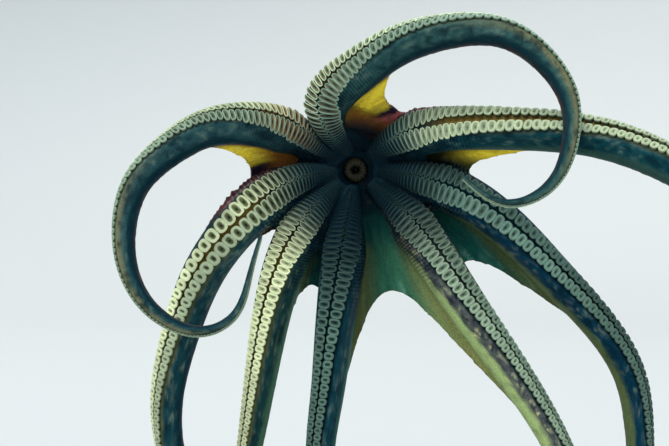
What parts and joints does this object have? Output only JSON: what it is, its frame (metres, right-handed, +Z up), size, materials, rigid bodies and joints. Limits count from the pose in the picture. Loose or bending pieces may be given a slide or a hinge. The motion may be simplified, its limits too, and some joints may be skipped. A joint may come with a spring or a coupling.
{
  "type": "octopus",
  "caption": "Life-size octopus display model seen mouth first, with arms spread and curled and a web between their roots, held over a flat round base by thin rods.",
  "frame": {"origin": "middle of the stand base's underside", "axes": "+Z up; -Y the way the octopus's mouth faces; +X to the right of someone who looks at the mouth, on the animal's left"},
  "size_m": [0.4499, 0.33, 0.4449],
  "materials": {
    "arm_skin": "moist slate green with pale suckers",
    "web_skin": "moist olive, yellow between the upper arms",
    "mantle_skin": "moist mottled red-brown",
    "eye": "glossy gold with a dark slit pupil",
    "lips": "moist buff",
    "beak": "horn black",
    "stand_base": "satin black paint",
    "stand_rod": "satin black paint"
  },
  "bodies": {
    "root": {"arm_r1_base": "arm_skin", "arm_r1_middle": "arm_skin", "arm_r1_tip": "arm_skin", "arm_l1_base": "arm_skin", "arm_l1_middle": "arm_skin", "arm_l1_tip": "arm_skin", "arm_l2_base": "arm_skin", "arm_l2_middle": "arm_skin", "arm_l2_tip": "arm_skin", "arm_l3_base": "arm_skin", "arm_l3_middle": "arm_skin", "arm_l3_tip": "arm_skin", "arm_l4_base": "arm_skin", "arm_l4_middle": "arm_skin", "arm_l4_tip": "arm_skin", "arm_r4_base": "arm_skin", "arm_r4_middle": "arm_skin", "arm_r4_tip": "arm_skin", "arm_r3_base": "arm_skin", "arm_r3_middle": "arm_skin", "arm_r3_tip": "arm_skin", "arm_r2_base": "arm_skin", "arm_r2_middle": "arm_skin", "arm_r2_tip": "arm_skin", "web_r1_l1": "web_skin", "web_l1_l2": "web_skin", "web_l2_l3": "web_skin", "web_l3_l4": "web_skin", "web_l4_r4": "web_skin", "web_r4_r3": "web_skin", "web_r3_r2": "web_skin", "web_r2_r1": "web_skin", "head": "mantle_skin", "mantle": "mantle_skin", "siphon": "mantle_skin", "eye_left": "eye", "eye_right": "eye", "mouth_lips": "lips", "beak": "beak", "stand_base": "stand_base", "stand_collar_head": "stand_rod", "stand_rod_head": "stand_rod", "stand_saddle_head": "stand_rod", "stand_collar_mantle": "stand_rod", "stand_rod_mantle": "stand_rod", "stand_saddle_mantle": "stand_rod"}
  },
  "joints": []
}
